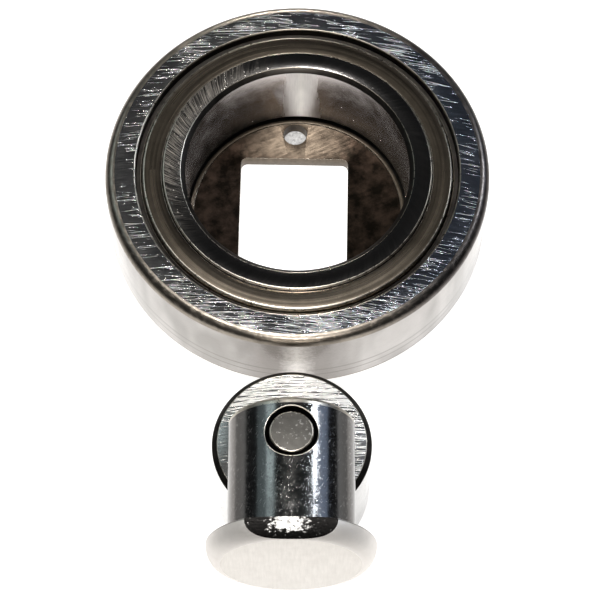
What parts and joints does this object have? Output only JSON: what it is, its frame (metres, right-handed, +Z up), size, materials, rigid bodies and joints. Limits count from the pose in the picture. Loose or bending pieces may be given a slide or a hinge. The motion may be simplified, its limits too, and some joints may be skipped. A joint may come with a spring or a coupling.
{
  "type": "roller cam follower",
  "caption": "Needle roller cam follower on a windowed end plate, with a round foot carrying a swivelling headed pin.",
  "frame": {"origin": "middle of the set's footprint, on the surface it stands on", "axes": "+Z up along the roller's axis, +Y from the headed pin towards the roller, +X to the right seen from the headed pin's side"},
  "size_m": [0.052, 0.086, 0.0323],
  "materials": {
    "ground_steel": "ground, with straight bright scratches",
    "ring_steel": "ground, dull",
    "washer_steel": "matt, slightly brown",
    "bright_steel": "polished",
    "cage_steel": "dull",
    "blackened_steel": "dark brown, rough, oily",
    "polished_steel": "polished side, ground top",
    "chromed_steel": "polished, finely scratched",
    "dull_steel": "matt grey"
  },
  "bodies": {
    "hub": {"inner_ring": "ring_steel", "lower_side_washer": "washer_steel", "upper_side_washer": "washer_steel", "end_plate": "blackened_steel"},
    "outer_ring": {"outer_ring": "ground_steel", "lower_seal_ring": "bright_steel", "upper_seal_ring": "bright_steel"},
    "cage": {"needle_cage": "cage_steel"},
    "needle_01": {"needle_01": "bright_steel"},
    "needle_02": {"needle_02": "bright_steel"},
    "needle_03": {"needle_03": "bright_steel"},
    "needle_04": {"needle_04": "bright_steel"},
    "needle_05": {"needle_05": "bright_steel"},
    "needle_06": {"needle_06": "bright_steel"},
    "needle_07": {"needle_07": "bright_steel"},
    "needle_08": {"needle_08": "bright_steel"},
    "needle_09": {"needle_09": "bright_steel"},
    "needle_10": {"needle_10": "bright_steel"},
    "needle_11": {"needle_11": "bright_steel"},
    "needle_12": {"needle_12": "bright_steel"},
    "needle_13": {"needle_13": "bright_steel"},
    "needle_14": {"needle_14": "bright_steel"},
    "needle_15": {"needle_15": "bright_steel"},
    "needle_16": {"needle_16": "bright_steel"},
    "needle_17": {"needle_17": "bright_steel"},
    "needle_18": {"needle_18": "bright_steel"},
    "needle_19": {"needle_19": "bright_steel"},
    "needle_20": {"needle_20": "bright_steel"},
    "needle_21": {"needle_21": "bright_steel"},
    "needle_22": {"needle_22": "bright_steel"},
    "needle_23": {"needle_23": "bright_steel"},
    "needle_24": {"needle_24": "bright_steel"},
    "needle_25": {"needle_25": "bright_steel"},
    "needle_26": {"needle_26": "bright_steel"},
    "needle_27": {"needle_27": "bright_steel"},
    "needle_28": {"needle_28": "bright_steel"},
    "foot": {"foot_cylinder": "polished_steel", "cross_pin": "dull_steel"},
    "headed_pin": {"headed_pin": "chromed_steel"}
  },
  "joints": [
    {"name": "outer_ring_spin", "type": "hinge", "parent": "hub", "child": "outer_ring", "pos_m": [0, 0.01696, 0.00845], "axis": [0, 0, 1], "continuous": true},
    {"name": "cage_spin", "type": "hinge", "parent": "hub", "child": "cage", "pos_m": [0, 0.01696, 0.00845], "axis": [0, 0, 1], "continuous": true},
    {"name": "needle_01_spin", "type": "hinge", "parent": "cage", "child": "needle_01", "pos_m": [0.01937, 0.01914, 0.00845], "axis": [0, 0, 1], "continuous": true},
    {"name": "needle_02_spin", "type": "hinge", "parent": "cage", "child": "needle_02", "pos_m": [0.0184, 0.0234, 0.00845], "axis": [0, 0, 1], "continuous": true},
    {"name": "needle_03_spin", "type": "hinge", "parent": "cage", "child": "needle_03", "pos_m": [0.0165, 0.02733, 0.00845], "axis": [0, 0, 1], "continuous": true},
    {"name": "needle_04_spin", "type": "hinge", "parent": "cage", "child": "needle_04", "pos_m": [0.01378, 0.03074, 0.00845], "axis": [0, 0, 1], "continuous": true},
    {"name": "needle_05_spin", "type": "hinge", "parent": "cage", "child": "needle_05", "pos_m": [0.01037, 0.03346, 0.00845], "axis": [0, 0, 1], "continuous": true},
    {"name": "needle_06_spin", "type": "hinge", "parent": "cage", "child": "needle_06", "pos_m": [0.00644, 0.03536, 0.00845], "axis": [0, 0, 1], "continuous": true},
    {"name": "needle_07_spin", "type": "hinge", "parent": "cage", "child": "needle_07", "pos_m": [0.00218, 0.03633, 0.00845], "axis": [0, 0, 1], "continuous": true},
    {"name": "needle_08_spin", "type": "hinge", "parent": "cage", "child": "needle_08", "pos_m": [-0.00218, 0.03633, 0.00845], "axis": [0, 0, 1], "continuous": true},
    {"name": "needle_09_spin", "type": "hinge", "parent": "cage", "child": "needle_09", "pos_m": [-0.00644, 0.03536, 0.00845], "axis": [0, 0, 1], "continuous": true},
    {"name": "needle_10_spin", "type": "hinge", "parent": "cage", "child": "needle_10", "pos_m": [-0.01037, 0.03346, 0.00845], "axis": [0, 0, 1], "continuous": true},
    {"name": "needle_11_spin", "type": "hinge", "parent": "cage", "child": "needle_11", "pos_m": [-0.01378, 0.03074, 0.00845], "axis": [0, 0, 1], "continuous": true},
    {"name": "needle_12_spin", "type": "hinge", "parent": "cage", "child": "needle_12", "pos_m": [-0.0165, 0.02733, 0.00845], "axis": [0, 0, 1], "continuous": true},
    {"name": "needle_13_spin", "type": "hinge", "parent": "cage", "child": "needle_13", "pos_m": [-0.0184, 0.0234, 0.00845], "axis": [0, 0, 1], "continuous": true},
    {"name": "needle_14_spin", "type": "hinge", "parent": "cage", "child": "needle_14", "pos_m": [-0.01937, 0.01914, 0.00845], "axis": [0, 0, 1], "continuous": true},
    {"name": "needle_15_spin", "type": "hinge", "parent": "cage", "child": "needle_15", "pos_m": [-0.01937, 0.01478, 0.00845], "axis": [0, 0, 1], "continuous": true},
    {"name": "needle_16_spin", "type": "hinge", "parent": "cage", "child": "needle_16", "pos_m": [-0.0184, 0.01052, 0.00845], "axis": [0, 0, 1], "continuous": true},
    {"name": "needle_17_spin", "type": "hinge", "parent": "cage", "child": "needle_17", "pos_m": [-0.0165, 0.00659, 0.00845], "axis": [0, 0, 1], "continuous": true},
    {"name": "needle_18_spin", "type": "hinge", "parent": "cage", "child": "needle_18", "pos_m": [-0.01378, 0.00318, 0.00845], "axis": [0, 0, 1], "continuous": true},
    {"name": "needle_19_spin", "type": "hinge", "parent": "cage", "child": "needle_19", "pos_m": [-0.01037, 0.00046, 0.00845], "axis": [0, 0, 1], "continuous": true},
    {"name": "needle_20_spin", "type": "hinge", "parent": "cage", "child": "needle_20", "pos_m": [-0.00644, -0.00144, 0.00845], "axis": [0, 0, 1], "continuous": true},
    {"name": "needle_21_spin", "type": "hinge", "parent": "cage", "child": "needle_21", "pos_m": [-0.00218, -0.00241, 0.00845], "axis": [0, 0, 1], "continuous": true},
    {"name": "needle_22_spin", "type": "hinge", "parent": "cage", "child": "needle_22", "pos_m": [0.00218, -0.00241, 0.00845], "axis": [0, 0, 1], "continuous": true},
    {"name": "needle_23_spin", "type": "hinge", "parent": "cage", "child": "needle_23", "pos_m": [0.00644, -0.00144, 0.00845], "axis": [0, 0, 1], "continuous": true},
    {"name": "needle_24_spin", "type": "hinge", "parent": "cage", "child": "needle_24", "pos_m": [0.01037, 0.00046, 0.00845], "axis": [0, 0, 1], "continuous": true},
    {"name": "needle_25_spin", "type": "hinge", "parent": "cage", "child": "needle_25", "pos_m": [0.01378, 0.00318, 0.00845], "axis": [0, 0, 1], "continuous": true},
    {"name": "needle_26_spin", "type": "hinge", "parent": "cage", "child": "needle_26", "pos_m": [0.0165, 0.00659, 0.00845], "axis": [0, 0, 1], "continuous": true},
    {"name": "needle_27_spin", "type": "hinge", "parent": "cage", "child": "needle_27", "pos_m": [0.0184, 0.01052, 0.00845], "axis": [0, 0, 1], "continuous": true},
    {"name": "needle_28_spin", "type": "hinge", "parent": "cage", "child": "needle_28", "pos_m": [0.01937, 0.01478, 0.00845], "axis": [0, 0, 1], "continuous": true},
    {"name": "foot_lift", "type": "slide", "parent": "hub", "child": "foot", "axis": [0, 0, 1], "range_m": [0, 0.06]},
    {"name": "headed_pin_swivel", "type": "hinge", "parent": "foot", "child": "headed_pin", "pos_m": [-0.0006, -0.0284, 0.02341], "axis": [0, 0, 1], "range_deg": [-90, 90]}
  ],
  "couplings": [
    {"joint": "cage_spin", "follows": "outer_ring_spin", "ratio": 0.5323},
    {"joint": "needle_01_spin", "follows": "outer_ring_spin", "ratio": 7.702},
    {"joint": "needle_02_spin", "follows": "outer_ring_spin", "ratio": 7.702},
    {"joint": "needle_03_spin", "follows": "outer_ring_spin", "ratio": 7.702},
    {"joint": "needle_04_spin", "follows": "outer_ring_spin", "ratio": 7.702},
    {"joint": "needle_05_spin", "follows": "outer_ring_spin", "ratio": 7.702},
    {"joint": "needle_06_spin", "follows": "outer_ring_spin", "ratio": 7.702},
    {"joint": "needle_07_spin", "follows": "outer_ring_spin", "ratio": 7.702},
    {"joint": "needle_08_spin", "follows": "outer_ring_spin", "ratio": 7.702},
    {"joint": "needle_09_spin", "follows": "outer_ring_spin", "ratio": 7.702},
    {"joint": "needle_10_spin", "follows": "outer_ring_spin", "ratio": 7.702},
    {"joint": "needle_11_spin", "follows": "outer_ring_spin", "ratio": 7.702},
    {"joint": "needle_12_spin", "follows": "outer_ring_spin", "ratio": 7.702},
    {"joint": "needle_13_spin", "follows": "outer_ring_spin", "ratio": 7.702},
    {"joint": "needle_14_spin", "follows": "outer_ring_spin", "ratio": 7.702},
    {"joint": "needle_15_spin", "follows": "outer_ring_spin", "ratio": 7.702},
    {"joint": "needle_16_spin", "follows": "outer_ring_spin", "ratio": 7.702},
    {"joint": "needle_17_spin", "follows": "outer_ring_spin", "ratio": 7.702},
    {"joint": "needle_18_spin", "follows": "outer_ring_spin", "ratio": 7.702},
    {"joint": "needle_19_spin", "follows": "outer_ring_spin", "ratio": 7.702},
    {"joint": "needle_20_spin", "follows": "outer_ring_spin", "ratio": 7.702},
    {"joint": "needle_21_spin", "follows": "outer_ring_spin", "ratio": 7.702},
    {"joint": "needle_22_spin", "follows": "outer_ring_spin", "ratio": 7.702},
    {"joint": "needle_23_spin", "follows": "outer_ring_spin", "ratio": 7.702},
    {"joint": "needle_24_spin", "follows": "outer_ring_spin", "ratio": 7.702},
    {"joint": "needle_25_spin", "follows": "outer_ring_spin", "ratio": 7.702},
    {"joint": "needle_26_spin", "follows": "outer_ring_spin", "ratio": 7.702},
    {"joint": "needle_27_spin", "follows": "outer_ring_spin", "ratio": 7.702},
    {"joint": "needle_28_spin", "follows": "outer_ring_spin", "ratio": 7.702}
  ]
}
